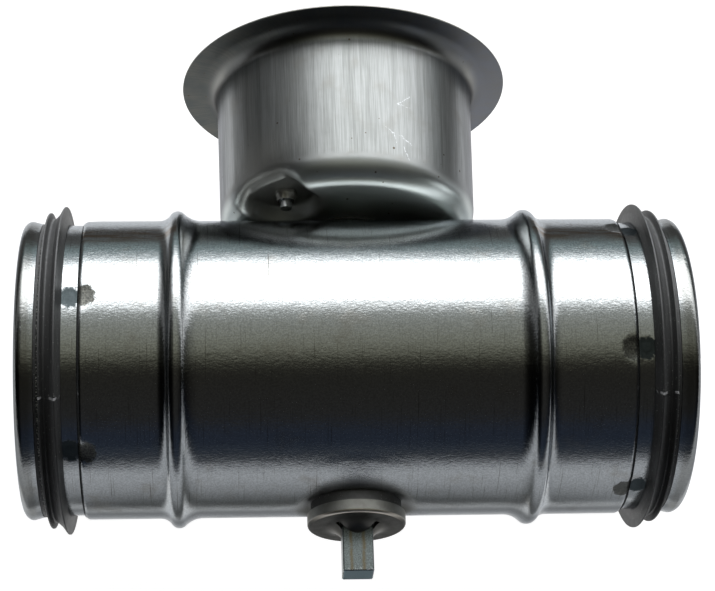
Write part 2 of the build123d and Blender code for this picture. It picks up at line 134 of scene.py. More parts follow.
# Duct shell
SHELL_SHEET_MM = 0.5
SHELL_END_MM = 70.65
SHELL_NIP_MM = 1.1
SHELL_NIP_DROP_MM = 0.55
BEAD_PLACE_MM = 46.1
BEAD_RUNS_MM = (6.3, 5.0)
BEAD_HEIGHT_MM = 2.6
BEAD_CREST_R_MM = 2.4
SEAT_HEIGHT_MM = 38.5
SEAT_FLAT_R_MM = 12.8
SEAT_SKIRT_SLOPE = 0.7356
SEAT_SOFTNESS_MM = 0.8
SEAT_BLEND_MM = 1.5
SEAT_REACH_MM = 9.0

# Pocket in the cup floor: its angle and half width, where the cup's mesh is finer, and its face
POCKET_ANGLE = 45
POCKET_HALF_ANGLE = 33
POCKET_SPAN_MM = (28.9, 51.0)
POCKET_SHARES = (0.0, 0.2, 0.45, 0.7, 1.0)
POCKET_EDGES_MM = (9.6, 10.5, 11.8, 13.6, 12.4)
POCKET_EDGE_WIDTHS_MM = (1.0, 1.8, 2.7, 3.0, 2.8)
# Smoothing near the ceiling and up the wall, in steps of the mesh
POCKET_SOFTNESS = (1.2, 4.0)
POCKET_BEND_MM = (3.3, 4.9)
POCKET_BEND_LEAN = 0.42

# Rivets through the blade: sizes of one, spacing of the four, and the middle of the grip along X
RIVET_SIZES_MM = {
    "Head radius": 3.5,
    "Head height": 1.2,
    "Shank radius": 2.0,
    "Grip": 2.05,
    "Spacing along": 42.0,
    "Spacing across": 19.2,
    "Middle": -0.025,
}

# Spot welds round each end: middle of the dent, step from the shell's edge to the middle of a mark on
# either side of it, spacing, first angles, half sizes (along, around) of mark and dent, and depths
WELD_PLACE_MM = 71.4
WELD_STEP_MM = 1.9
WELD_SPACING = 60.0
WELD_FIRST = {"left": 6.0, "right": -16.0}
WELD_HALF_SIZE_MM = (3.0, 3.5)
WELD_PRESS_SIZE_MM = (4.6, 4.6)
WELD_DEPTH_MM = 0.15
WELD_PRESS_MM = 0.45

# Brown smudges along the shell, by degrees from straight up, and a darker, duller ring round the cap between
# two distances
SMUDGE_ANGLE = 38.5
SEAT_DARK_RING_MM = (14.5, 19.5)
SEAT_DARK_RING_BELOW_MM = -34.0
# Painted shade along the duct's underside is kept beyond this radius, to stay off the blade
OUTSIDE_R_MM = 38.3
# The retaining cap's edge, where a highlight is painted: its radius and its distance below the duct's axis
CAP_EDGE_MM = (12.5, 44.45)


def tree_of(owner):
    """An owner's node tree, emptied."""
    owner.use_nodes = True
    owner.node_tree.nodes.clear()
    return owner.node_tree


def node(tree, kind, sockets=None, **settings):
    """A node with its settings, and its input values or links."""
    made = tree.nodes.new(kind)
    for name, value in settings.items():
        setattr(made, name, value)
    for name, value in (sockets or {}).items():
        if isinstance(value, bpy.types.NodeSocket):
            tree.links.new(value, made.inputs[name])
        else:
            made.inputs[name].default_value = value
    return made


def maths(tree, operation, *values):
    """The result of a Math node."""
    return node(tree, "ShaderNodeMath", dict(enumerate(values)), operation=operation).outputs[0]


def product(tree, first, second):
    """Two values multiplied."""
    return maths(tree, "MULTIPLY", first, second)


def times_plus(tree, value, factor, added):
    """A value times a factor, plus another value."""
    return maths(tree, "MULTIPLY_ADD", value, factor, added)


def apart(tree, first, second):
    """How far apart two values are."""
    return maths(tree, "ABSOLUTE", maths(tree, "SUBTRACT", first, second))


def hypotenuse(tree, first, second):
    """The length of a step with these two parts."""
    return maths(tree, "SQRT", times_plus(tree, first, first, product(tree, second, second)))


def vector_maths(tree, operation, *values, output="Vector"):
    """The result of a Vector Math node."""
    return node(tree, "ShaderNodeVectorMath", dict(enumerate(values)), operation=operation).outputs[output]


def ramp(tree, factor, stops):
    """A Color Ramp with the given (place, colour) stops."""
    made = node(tree, "ShaderNodeValToRGB", {"Fac": factor})
    points = made.color_ramp.elements
    while len(points) < len(stops):
        points.new(0.5)
    for point, (place, colour) in zip(points, stops):
        point.position = place
        colour = (colour,) * 3 if isinstance(colour, (int, float)) else colour
        point.color = (*colour, 1.0)
    return made.outputs["Color"]


def between(tree, value, low, high, start=0.0, end=1.0):
    """A smooth change from start to end while the value goes from low to high."""
    sockets = {"Value": value, "From Min": low, "From Max": high, "To Min": start, "To Max": end}
    return node(tree, "ShaderNodeMapRange", sockets, interpolation_type="SMOOTHSTEP").outputs["Result"]


def colour_mix(tree, share, first, second, way="MIX"):
    """Two colours mixed by a share; each may be a socket or three numbers."""
    made = node(tree, "ShaderNodeMix", {0: share}, data_type="RGBA", blend_type=way)
    for place, colour in ((6, first), (7, second)):
        if isinstance(colour, bpy.types.NodeSocket):
            tree.links.new(colour, made.inputs[place])
        else:
            made.inputs[place].default_value = (*colour, 1.0)
    return made.outputs[2]


def place_mm(tree):
    """Object coordinates in millimetres, as a vector and as its three parts."""
    place = node(tree, "ShaderNodeTexCoord").outputs["Object"]
    scaled = vector_maths(tree, "MULTIPLY", place, (1000.0, 1000.0, 1000.0))
    return scaled, node(tree, "ShaderNodeSeparateXYZ", {"Vector": scaled}).outputs


def noise(tree, place, size_mm, detail=2.0, rough=0.5, stretch=(1.0, 1.0, 1.0), shift=0.0):
    """Soft noise whose grains have the given size, longer where stretched."""
    scale = [1.0 / (size_mm * s) for s in stretch]
    sockets = {"Vector": place, "Scale": scale, "Location": (shift,) * 3}
    mapped = node(tree, "ShaderNodeMapping", sockets)
    sockets = {"Vector": mapped.outputs[0], "Scale": 1.0, "Detail": detail, "Roughness": rough}
    return node(tree, "ShaderNodeTexNoise", sockets).outputs["Fac"]


def specks(tree, place, spacing_mm, size_mm, shift=0.0):
    """Sparse small spots: 1 in the middle of a spot and 0 beyond it."""
    sockets = {"Vector": place, "Scale": (1 / spacing_mm,) * 3, "Location": (shift,) * 3}
    mapped = node(tree, "ShaderNodeMapping", sockets)
    cells = node(tree, "ShaderNodeTexVoronoi", {"Vector": mapped.outputs[0], "Scale": 1.0})
    chosen = node(tree, "ShaderNodeSeparateColor", {"Color": cells.outputs["Color"]}).outputs["Red"]
    reach = product(tree, chosen, size_mm / spacing_mm)
    nearness = maths(tree, "SUBTRACT", reach, cells.outputs["Distance"])
    return between(tree, nearness, 0.0, 0.3 * size_mm / spacing_mm)


def bump(tree, height, depth_mm, under=None):
    """The normal of a height that is worth depth_mm at 1, over an earlier normal."""
    sockets = {"Strength": 1.0, "Distance": depth_mm * MM, "Height": height}
    if under:
        sockets["Normal"] = under
    return node(tree, "ShaderNodeBump", sockets).outputs["Normal"]


def finish(name, tree_maker, metallic=1.0, **constants):
    """A material whose colour, roughness and normal come from tree_maker(tree)."""
    material = bpy.data.materials.new(name)
    tree = tree_of(material)
    colour, roughness, normal = tree_maker(tree)
    sockets = {"Base Color": colour, "Roughness": roughness, "Normal": normal, "Metallic": metallic}
    surface = node(tree, "ShaderNodeBsdfPrincipled", {**sockets, **constants})
    node(tree, "ShaderNodeOutputMaterial", {"Surface": surface.outputs[0]})
    return material


def round_duct(tree, parts):
    """The angle round the duct in degrees from straight up, and the place on the unrolled sheet."""
    angle = maths(tree, "ARCTAN2", parts["Y"], parts["Z"])
    sheet = node(tree, "ShaderNodeCombineXYZ", {"X": parts["X"], "Y": product(tree, angle, DUCT_R_MM)})
    return maths(tree, "DEGREES", angle), sheet.outputs[0]


def weld_marks(tree, parts, angle):
    """How far a place is from the nearest spot weld's mark: 0 in its middle and 1 at its edge."""
    side = maths(tree, "GREATER_THAN", parts["X"], 0.0)
    first = times_plus(tree, side, WELD_FIRST["right"] - WELD_FIRST["left"], WELD_FIRST["left"])
    turned = maths(tree, "SUBTRACT", angle, first)
    middle = maths(tree, "SNAP", maths(tree, "ADD", turned, WELD_SPACING / 2), WELD_SPACING)
    nearest = maths(tree, "SUBTRACT", turned, middle)
    across = product(tree, nearest, math.radians(1) * DUCT_R_MM / WELD_HALF_SIZE_MM[1])
    from_edge = apart(tree, maths(tree, "ABSOLUTE", parts["X"]), SHELL_END_MM)
    along = product(tree, maths(tree, "SUBTRACT", from_edge, WELD_STEP_MM), 1 / WELD_HALF_SIZE_MM[0])
    return hypotenuse(tree, across, along)


def galvanised(tree):
    """Bright zinc on rolled sheet: fine spangle, rolling lines, a few rubbed lines, stains and weld marks."""
    place, parts = place_mm(tree)
    angle, sheet = round_duct(tree, parts)
    spangle = noise(tree, place, 0.55, 4.0, 0.7, stretch=(1.7, 1.0, 1.0))
    ripple = noise(tree, place, 2.6, 3.0, 0.55, shift=7.0)
    rolling = noise(tree, sheet, 0.35, 2.0, 0.5, stretch=(6.0, 1.0, 1.0))
    lines = between(tree, noise(tree, sheet, 0.22, 1.0, 0.5, stretch=(1.0, 90.0, 1.0), shift=3.0), 0.67, 0.74)
    patches = noise(tree, place, 9.0, 4.0, 0.6, shift=21.0)
    stained = between(tree, patches, 0.56, 0.72)
    rubbed = between(tree, noise(tree, sheet, 0.9, 3.0, 0.7, stretch=(4.0, 1.0, 1.0), shift=11.0), 0.66, 0.74)
    weld = weld_marks(tree, parts, angle)
    weld_edge = times_plus(tree, noise(tree, place, 1.1, 4.0, 0.7, shift=5.0), 1.1, -0.55)
    dull = between(tree, maths(tree, "ADD", weld, weld_edge), 0.78, 1.0, 1.0, 0.0)
    dent = between(tree, weld, 0.35, 1.05, 0.0, 1.0)
    # A darker, rougher ring round the cap
    from_spindle = times_plus(tree, patches, 3.0, hypotenuse(tree, parts["X"], parts["Z"]))
    dark_dull_ring = between(tree, from_spindle, SEAT_DARK_RING_MM[0], SEAT_DARK_RING_MM[1], 1.0, 0.0)
    dark_dull_ring = product(tree, dark_dull_ring, maths(tree, "LESS_THAN", parts["Y"], SEAT_DARK_RING_BELOW_MM))
    speckle = between(tree, noise(tree, place, 0.42, 3.0, 0.7, shift=41.0), 0.36, 0.64)
    colour = colour_mix(tree, speckle, (0.44, 0.455, 0.46), (0.62, 0.64, 0.64))
    smears = noise(tree, sheet, 1.6, 4.0, 0.65, stretch=(7.0, 1.0, 1.0), shift=15.0)
    smudged = between(tree, smears, 0.42, 0.58)
    smudged = product(tree, smudged, between(tree, apart(tree, angle, SMUDGE_ANGLE), 2.0, 7.0, 1.0, 0.0))
    along = maths(tree, "ABSOLUTE", parts["X"])
    past_bead = maths(tree, "GREATER_THAN", along, BEAD_PLACE_MM)
    on_spigot = product(tree, past_bead, maths(tree, "LESS_THAN", along, SHELL_END_MM))
    smudged = product(tree, smudged, on_spigot)
    scuffed = between(tree, times_plus(tree, patches, 1.5, along), 82.5, 84.0, 0.0, 0.55)
    # Painted shade: the duct's underside, turned towards the floor, is painted dark
    underside_shade = product(tree, between(tree, angle, -94.0, -86.0, 1.0, 0.0), between(tree, angle, -135.0, -105.0))
    off_axis = vector_maths(tree, "MULTIPLY", place, (0.0, 1.0, 1.0))
    off_axis = vector_maths(tree, "LENGTH", off_axis, output="Value")
    underside_shade = product(tree, underside_shade, maths(tree, "GREATER_THAN", off_axis, OUTSIDE_R_MM))
    colour = colour_mix(tree, product(tree, stained, 0.3), colour, (0.32, 0.28, 0.22))
    colour = colour_mix(tree, product(tree, smudged, 0.7), colour, (0.34, 0.25, 0.17))
    colour = colour_mix(tree, product(tree, lines, 0.8), colour, (0.14, 0.13, 0.11))
    colour = colour_mix(tree, product(tree, underside_shade, 0.9), colour, (0.09, 0.09, 0.082))
    colour = colour_mix(tree, scuffed, colour, (0.27, 0.265, 0.24))
    on_collar = maths(tree, "GREATER_THAN", along, SHELL_END_MM)
    burnt = colour_mix(tree, speckle, (0.045, 0.045, 0.04), (0.16, 0.158, 0.135))
    burnt = colour_mix(tree, on_collar, burnt, (0.030, 0.044, 0.048))
    colour = colour_mix(tree, product(tree, dull, 0.92), colour, burnt)
    colour = colour_mix(tree, product(tree, dark_dull_ring, 0.7), colour, (0.26, 0.255, 0.23))
    rough = times_plus(tree, ripple, 0.10, 0.055)
    rough = times_plus(tree, dark_dull_ring, 0.35, rough)
    rough = times_plus(tree, stained, 0.10, rough)
    rough = times_plus(tree, rubbed, 0.10, rough)
    rough = times_plus(tree, dull, 0.25, rough)
    normal = bump(tree, ripple, 0.045)
    normal = bump(tree, spangle, 0.040, normal)
    normal = bump(tree, rolling, 0.007, normal)
    normal = bump(tree, dent, WELD_DEPTH_MM, normal)
    return colour, rough, normal


def stroke(tree, flat, start, end, width_mm):
    """1 along a scratch from start to end on a flat place, and 0 beside it."""
    run = (end[0] - start[0], end[1] - start[1], 0.0)
    from_start = vector_maths(tree, "SUBTRACT", flat, (*start, 0.0))
    along = vector_maths(tree, "DOT_PRODUCT", from_start, run, output="Value")
    share = product(tree, along, 1 / (run[0] ** 2 + run[1] ** 2))
    share = node(tree, "ShaderNodeClamp", {"Value": share}).outputs[0]
    sockets = {axis: product(tree, share, part) for axis, part in zip("XY", run)}
    nearest = node(tree, "ShaderNodeCombineXYZ", sockets)
    away = vector_maths(tree, "DISTANCE", from_start, nearest.outputs[0], output="Value")
    return between(tree, away, 0.3 * width_mm, width_mm, 1.0, 0.0)


# Scratches on the cup's wall: both ends as (degrees from straight up towards -X, height in mm), and
# the width in mm
CUP_SCRATCHES = (
    ((-26.5, 65.0), (-20.5, 62.2), 0.20),
    ((-20.5, 62.2), (-27.0, 61.6), 0.14),
    ((-14.0, 55.3), (-18.5, 53.3), 0.13),
    ((-18.5, 53.3), (-19.5, 50.6), 0.13),
    ((-21.0, 53.0), (-27.0, 50.7), 0.20),
    ((-23.0, 49.6), (-25.5, 46.2), 0.16),
)


def drawn_cup(tree):
    """Drawn sheet: streaks up the wall, smooth at the corner, with specks and a few scratches."""
    place, parts = place_mm(tree)
    turn = maths(tree, "ARCTAN2", product(tree, parts["X"], -1.0), parts["Z"])
    degrees = maths(tree, "DEGREES", turn)
    wavy_height = times_plus(tree, noise(tree, place, 1.5, shift=2.0), 1.6, parts["Y"])
    wall_low = between(tree, wavy_height, 46.8, 48.6)
    wall_high = between(tree, parts["Y"], 79.5, 84.7, 1.0, 0.0)
    wall = product(tree, wall_low, wall_high)
    fine = noise(tree, place, 0.22, 3.0, 0.6, stretch=(1.0, 400.0, 1.0))
    broad = noise(tree, place, 1.7, 2.0, 0.55, stretch=(1.0, 90.0, 1.0), shift=9.0)
    grain = noise(tree, place, 0.30, 3.0, 0.6, shift=4.0)
    clouds = noise(tree, place, 7.0, 3.0, 0.55, shift=13.0)
    streak = times_plus(tree, broad, 0.42, product(tree, fine, 0.58))
    rays = node(tree, "ShaderNodeCombineXYZ", {"X": product(tree, turn, FLANGE_R_MM)}).outputs[0]
    streak_round = times_plus(tree, noise(tree, rays, 0.8, 3.0, 0.65), 0.5, product(tree, clouds, 0.5))
    streak = times_plus(tree, maths(tree, "SUBTRACT", streak, 0.5), wall, 0.5)
    dots = maths(tree, "MAXIMUM", specks(tree, place, 4.2, 0.34), specks(tree, place, 6.1, 0.5, 31.0))
    wobble = times_plus(tree, noise(tree, place, 1.6, 3.0, 0.7, shift=17.0), 2.4, -1.2)
    sockets = {
        "X": product(tree, degrees, math.radians(1) * CUP_FOOT_R_MM),
        "Y": maths(tree, "ADD", parts["Y"], wobble),
    }
    flat = node(tree, "ShaderNodeCombineXYZ", sockets).outputs[0]
    scratched = 0.0
    for start, end, width in CUP_SCRATCHES:
        ends = [(math.radians(turned) * CUP_FOOT_R_MM, height) for turned, height in (start, end)]
        scratched = maths(tree, "MAXIMUM", stroke(tree, flat, *ends, width), scratched)
    scratched = product(tree, scratched, between(tree, noise(tree, place, 0.5, shift=8.0), 0.40, 0.55))
    colour = colour_mix(tree, between(tree, streak, 0.34, 0.66), (0.335, 0.345, 0.335), (0.53, 0.545, 0.54))
    colour = colour_mix(tree, between(tree, clouds, 0.50, 0.72, 0.0, 0.35), colour, (0.36, 0.345, 0.31))
    # Painted sheen: the cup's floor and corner are painted far brighter than the wall
    colour = colour_mix(tree, between(tree, parts["Y"], 41.5, 46.0, 1.0, 0.0), colour, (0.84, 0.89, 0.87))
    # Painted shade: the pocket is painted darker and plainer than the bright corner round it
    from_pocket = vector_maths(tree, "SUBTRACT", place, (POCKET_PLACE_MM[0], 44.0, POCKET_PLACE_MM[1]))
    from_pocket = vector_maths(tree, "MULTIPLY", from_pocket, (1.0, 0.6, 1.0))
    from_pocket = vector_maths(tree, "LENGTH", from_pocket, output="Value")
    in_pocket = between(tree, from_pocket, 9.0, 15.0, 0.8, 0.0)
    colour = colour_mix(tree, in_pocket, colour, (0.38, 0.375, 0.35))
    # Painted shade: darker in the bend under the flange
    colour = colour_mix(tree, between(tree, parts["Y"], 80.2, 82.2, 0.0, 0.75), colour, (0.23, 0.225, 0.205))
    below_top = between(tree, parts["Y"], 85.2, 85.3, 1.0, 0.0)
    under_flange = product(tree, between(tree, parts["Y"], 82.8, 84.8), below_top)
    # Painted shade under the flange, darker on the left and lighter, bluer on the right as painted light,
    # with brown draw streaks through it
    across = between(tree, parts["X"], -30.0, 30.0)
    flange_shade_colour = colour_mix(tree, across, (0.105, 0.115, 0.113), (0.19, 0.20, 0.225))
    rays_seen = between(tree, streak_round, 0.40, 0.62, 0.0, 0.45)
    flange_shade_colour = colour_mix(tree, rays_seen, flange_shade_colour, (0.21, 0.20, 0.175))
    colour = colour_mix(tree, product(tree, under_flange, 0.92), colour, flange_shade_colour)
    # Painted highlight: a thin bright line along the flange's edge
    rim = product(tree, between(tree, parts["Y"], 84.96, 85.06), below_top)
    colour = colour_mix(tree, rim, colour, (0.74, 0.73, 0.66))
    colour = colour_mix(tree, product(tree, dots, 0.85), colour, (0.12, 0.085, 0.045))
    colour = colour_mix(tree, product(tree, scratched, 0.6), colour, (0.95, 0.97, 1.0))
    rough = times_plus(tree, clouds, 0.08, 0.26)
    rough = times_plus(tree, under_flange, 0.22, rough)
    rough = times_plus(tree, in_pocket, 0.16, rough)
    rough = maths(tree, "ADD", between(tree, parts["Y"], 43.0, 49.0, 0.08, 0.0), rough)
    rough = times_plus(tree, wall, 0.03, rough)
    normal = bump(tree, clouds, 0.05)
    normal = bump(tree, grain, 0.006, normal)
    normal = bump(tree, streak, 0.016, normal)
    return colour, rough, normal


def cap_steel(tree):
    """Dull pressed steel, paler round its funnel, with its side painted lighter than its face and a painted
    highlight along its edge.
    """
    place, parts = place_mm(tree)
    grain = noise(tree, place, 0.25, 3.0, 0.6)
    clouds = noise(tree, place, 3.0, 4.0, 0.6, shift=5.0)
    away = hypotenuse(tree, parts["X"], parts["Z"])
    past_edge = maths(tree, "SUBTRACT", away, CAP_EDGE_MM[0])
    edge = maths(tree, "SUBTRACT", past_edge, maths(tree, "ADD", parts["Y"], CAP_EDGE_MM[1]))
    # Painted highlight: a bright warm line along the upper part of the cap's edge
    edge_glint = times_plus(tree, noise(tree, place, 0.9, 4.0, 0.7, shift=9.0), 0.3, maths(tree, "ABSOLUTE", edge))
    below_side = between(tree, parts["Y"], -44.1, -43.9, 1.0, 0.0)
    outside = product(tree, between(tree, away, 11.9, 12.2), below_side)
    outside = product(tree, outside, between(tree, parts["Z"], 3.0, 11.5))
    edge_glint = product(tree, between(tree, edge_glint, 0.36, 0.54, 1.0, 0.0), outside)
    funnel = between(tree, away, 5.6, 8.6, 1.0, 0.0)
    shine = maths(tree, "MAXIMUM", edge_glint, product(tree, funnel, 0.6))
    # Painted light and shade: the cap's side is painted much lighter than its face
    at_side = between(tree, parts["Y"], -44.3, -44.0)
    colour = colour_mix(tree, between(tree, clouds, 0.35, 0.70), (0.135, 0.133, 0.122), (0.105, 0.102, 0.092))
    lit_side_colour = colour_mix(tree, between(tree, clouds, 0.35, 0.70), (0.43, 0.43, 0.40), (0.36, 0.355, 0.33))
    colour = colour_mix(tree, at_side, colour, lit_side_colour)
    colour = colour_mix(tree, product(tree, funnel, 0.3), colour, (0.40, 0.38, 0.34))
    colour = colour_mix(tree, edge_glint, colour, (0.96, 0.88, 0.76))
    rough = times_plus(tree, shine, -0.20, times_plus(tree, clouds, 0.12, 0.50))
    return colour, rough, bump(tree, grain, 0.012, bump(tree, clouds, 0.04))


def shaft_zinc(tree):
    """Blue-grey zinc on drawn bar, with brown run marks down the front and a chipped end."""
    place, parts = place_mm(tree)
    grain = noise(tree, place, 0.22, 4.0, 0.7)
    drawn = noise(tree, place, 0.30, 3.0, 0.6, stretch=(1.0, 30.0, 1.0), shift=3.0)
    sway = times_plus(tree, noise(tree, place, 3.0, shift=12.0), 0.7, -0.35)
    across = maths(tree, "ADD", parts["X"], sway)
    runs = 0.0
    for middle, half in ((-1.75, 0.36), (1.5, 0.40)):
        away = apart(tree, across, middle)
        runs = maths(tree, "MAXIMUM", between(tree, away, 0.1 * half, 1.9 * half, 1.0, 0.0), runs)
    broken = between(tree, noise(tree, place, 1.2, 3.0, 0.6, shift=6.0), 0.25, 0.5, 0.35, 0.85)
    runs = product(tree, runs, broken)
    chips = between(tree, noise(tree, place, 0.45, 3.0, 0.7, shift=19.0), 0.55, 0.62)
    chips = product(tree, chips, between(tree, parts["Y"], -57.25, -56.6, 1.0, 0.0))
    at_end = maths(tree, "LESS_THAN", parts["Y"], -57.55)
    chips = product(tree, chips, maths(tree, "SUBTRACT", 1.0, at_end))
    colour = colour_mix(tree, between(tree, grain, 0.38, 0.64), (0.13, 0.15, 0.15), (0.33, 0.37, 0.37))
    colour = colour_mix(tree, runs, colour, (0.20, 0.165, 0.10))
    # Painted light: the bar's end face is painted lighter and bluer than its sides
    colour = colour_mix(tree, at_end, colour, (0.42, 0.56, 0.62))
    colour = colour_mix(tree, chips, colour, (0.90, 0.92, 0.90))
    rough = times_plus(tree, grain, 0.20, 0.25)
    return colour, rough, bump(tree, drawn, 0.02, bump(tree, grain, 0.012))


def zinc(colour_low, colour_high, rough_base, grain_mm=0.3):
    """Plated hardware: a mottled coat with a fine grain and small dark specks."""

    def maker(tree):
        place, _ = place_mm(tree)
        grain = noise(tree, place, grain_mm, 4.0, 0.65)
        clouds = noise(tree, place, 2.2, 3.0, 0.6, shift=6.0)
        dots = specks(tree, place, 1.8, 0.22)
        colour = colour_mix(tree, between(tree, clouds, 0.35, 0.68), colour_low, colour_high)
        colour = colour_mix(tree, product(tree, dots, 0.6), colour, (0.10, 0.08, 0.06))
        rough = times_plus(tree, clouds, 0.16, rough_base)
        return colour, rough, bump(tree, grain, 0.010, bump(tree, clouds, 0.02))

    return maker


def rubber(tree):
    """Black rubber with dust and painted light on the side turned to the bright light, painted shade in its
    crease, and dust along its lips.
    """
    place, parts = place_mm(tree)
    grain = noise(tree, place, 0.18, 3.0, 0.6)
    dust = noise(tree, place, 1.4, 4.0, 0.65, shift=4.0)
    facing = node(tree, "ShaderNodeNewGeometry").outputs["Normal"]
    # Dust, with painted light: paler where the rubber turns towards the bright light
    toward_light = vector_maths(tree, "DOT_PRODUCT", facing, (0.0, 0.85, 0.53), output="Value")
    dust_and_light = product(tree, between(tree, toward_light, 0.05, 0.90), between(tree, dust, 0.15, 0.75, 0.5, 1.0))
    flecks = specks(tree, place, 0.75, 0.20, 9.0)
    colour = colour_mix(tree, grain, (0.040, 0.040, 0.040), (0.075, 0.075, 0.075))
    radius = hypotenuse(tree, parts["Y"], parts["Z"])
    off_crease = apart(tree, maths(tree, "ABSOLUTE", parts["X"]), CREASE_MM[0])
    crease = between(tree, off_crease, 0.25, 0.55, 1.0, 0.0)
    crease = product(tree, crease, between(tree, radius, CREASE_MM[1], CREASE_MM[1] + 0.5, 1.0, 0.0))
    dashes = product(tree, crease, between(tree, noise(tree, place, 0.35, 3.0, 0.7, shift=23.0), 0.54, 0.60))
    colour = colour_mix(tree, product(tree, dust_and_light, 0.95), colour, (0.26, 0.26, 0.265))
    # Painted shade: the crease at the low lip's foot is painted near black
    colour = colour_mix(tree, crease, colour, (0.012, 0.012, 0.012))
    colour = colour_mix(tree, dashes, colour, (0.55, 0.55, 0.50))
    colour = colour_mix(tree, product(tree, flecks, 0.5), colour, (0.45, 0.45, 0.43))
    rough = times_plus(tree, dust, 0.25, 0.40)
    return colour, rough, bump(tree, grain, 0.015)


def plastic(tree):
    """Dark moulded plastic."""
    place, _ = place_mm(tree)
    grain = noise(tree, place, 0.15, 3.0, 0.6)
    clouds = noise(tree, place, 4.0, 2.0, 0.5, shift=3.0)
    colour = colour_mix(tree, clouds, (0.022, 0.023, 0.025), (0.045, 0.046, 0.048))
    return colour, times_plus(tree, grain, 0.2, 0.35), bump(tree, grain, 0.008)


def make_camera():
    """The photograph's camera."""
    data = bpy.data.cameras.new("camera")
    data.sensor_fit = "HORIZONTAL"
    data.sensor_width = SENSOR_WIDTH_MM
    data.lens = CAMERA_LENS_MM
    data.clip_start = 0.01
    camera = bpy.data.objects.new("camera", data)
    columns = (CAMERA_RIGHT, CAMERA_UP, CAMERA_BACK, CAMERA_PLACE)
    camera.matrix_world = Matrix([[column[row] for column in columns] for row in range(3)] + [[0, 0, 0, 1]])
    bpy.context.scene.collection.objects.link(camera)
    bpy.context.scene.camera = camera


def make_world():
    """Soft light in bands round the duct, brightest high on the cup's side."""
    world = bpy.data.worlds.new("studio")
    bpy.context.scene.world = world
    tree = tree_of(world)
    direction = node(tree, "ShaderNodeTexCoord").outputs["Generated"]
    parts = node(tree, "ShaderNodeSeparateXYZ", {"Vector": direction}).outputs
    angle = maths(tree, "ARCTAN2", parts["Y"], parts["Z"])
    turn = times_plus(tree, angle, 0.5 / math.pi, 0.5)
    bands = ramp(tree, turn, [(degrees / 360 + 0.5, colour) for degrees, colour in LIGHT_BANDS])
    along = times_plus(tree, parts["X"], 0.5, 0.5)
    spread = ramp(tree, along, [(share / 2 + 0.5, level) for share, level in LIGHT_SPREAD])
    light = node(tree, "ShaderNodeBackground", {"Color": colour_mix(tree, 1.0, bands, spread, "MULTIPLY")})
    node(tree, "ShaderNodeOutputWorld", {"Surface": light.outputs[0]})


def make_floor():
    """A flat floor whose white sheet fades into a grey table."""
    h = FLOOR_HALF_SIZE
    corners = [(-h, -h, FLOOR_LEVEL), (h, -h, FLOOR_LEVEL), (h, h, FLOOR_LEVEL), (-h, h, FLOOR_LEVEL)]
    mesh = bpy.data.meshes.new("floor")
    mesh.from_pydata(corners, [], [(0, 1, 2, 3)])
    floor = bpy.data.objects.new("floor", mesh)
    bpy.context.scene.collection.objects.link(floor)
    material = bpy.data.materials.new("floor")
    tree = tree_of(material)
    place = node(tree, "ShaderNodeTexCoord").outputs["Object"]
    centred = vector_maths(tree, "SUBTRACT", place, SHEET_MIDDLE)
    parts = node(tree, "ShaderNodeSeparateXYZ", {"Vector": centred}).outputs
    beyond = [
        maths(tree, "MAXIMUM", maths(tree, "SUBTRACT", maths(tree, "ABSOLUTE", parts[axis]), half), 0.0)
        for axis, half in zip("XY", SHEET_HALF_SIZE)
    ]
    share = between(tree, hypotenuse(tree, *beyond), 0.0, SHEET_FADE, 1.0, 0.0)
    far, near, behind = TABLE_COLOURS
    table = colour_mix(tree, between(tree, parts["Y"], *TABLE_FADES[0]), far, near)
    table = colour_mix(tree, between(tree, parts["Y"], *TABLE_FADES[1]), table, behind)
    paper = node(tree, "ShaderNodeBsdfDiffuse", {"Color": colour_mix(tree, share, table, SHEET_COLOUR)})
    ray = node(tree, "ShaderNodeLightPath").outputs
    seen = maths(tree, "MAXIMUM", ray["Is Camera Ray"], ray["Is Glossy Ray"])
    seen = maths(tree, "MAXIMUM", seen, ray["Is Transmission Ray"])
    lift = product(tree, product(tree, seen, share), SHEET_LIFT)
    glow = node(tree, "ShaderNodeEmission", {"Strength": lift})
    both = node(tree, "ShaderNodeAddShader", {0: paper.outputs[0], 1: glow.outputs[0]})
    node(tree, "ShaderNodeOutputMaterial", {"Surface": both.outputs[0]})
    mesh.materials.append(material)


def rounded(corners, steps=4):
    """A closed outline through corners (a, b, rounding), with a point beside each rounding."""
    outline = []
    for before, (a, b, radius), after in zip(corners[-1:] + corners[:-1], corners, corners[1:] + corners[:1]):
        corner = np.array((a, b))
        back = np.array(before[:2]) - corner
        ahead = np.array(after[:2]) - corner
        room = 0.45 * min(np.linalg.norm(back), np.linalg.norm(ahead))
        back /= np.linalg.norm(back)
        ahead /= np.linalg.norm(ahead)
        if radius == 0:
            outline.append(corner)
            continue
        half = 0.5 * math.acos(np.clip(back @ ahead, -1.0, 1.0))
        reach = min(radius / math.tan(half), room)
        outline.append(corner + back * min(1.35 * reach, room * 1.05))
        for share in np.linspace(0.0, 1.0, steps + 1):
            left, right = (1 - share) ** 2, share**2
            middle = 1.0 - left - right
            curve = (corner + back * reach) * left + corner * middle + (corner + ahead * reach) * right
            outline.append(curve)
        outline.append(corner + ahead * min(1.35 * reach, room * 1.05))
    return np.array(outline)


def grid_faces(rows, columns, close_rows=False, close_columns=True):
    """Quads of a grid of points numbered row by row."""
    row, column = np.meshgrid(
        np.arange(rows if close_rows else rows - 1),
        np.arange(columns if close_columns else columns - 1),
        indexing="ij",
    )
    next_row, next_column = (row + 1) % rows, (column + 1) % columns
    here, ahead = row * columns, next_row * columns
    corners = (here + column, here + next_column, ahead + next_column, ahead + column)
    return np.stack([corner.ravel() for corner in corners], axis=1)


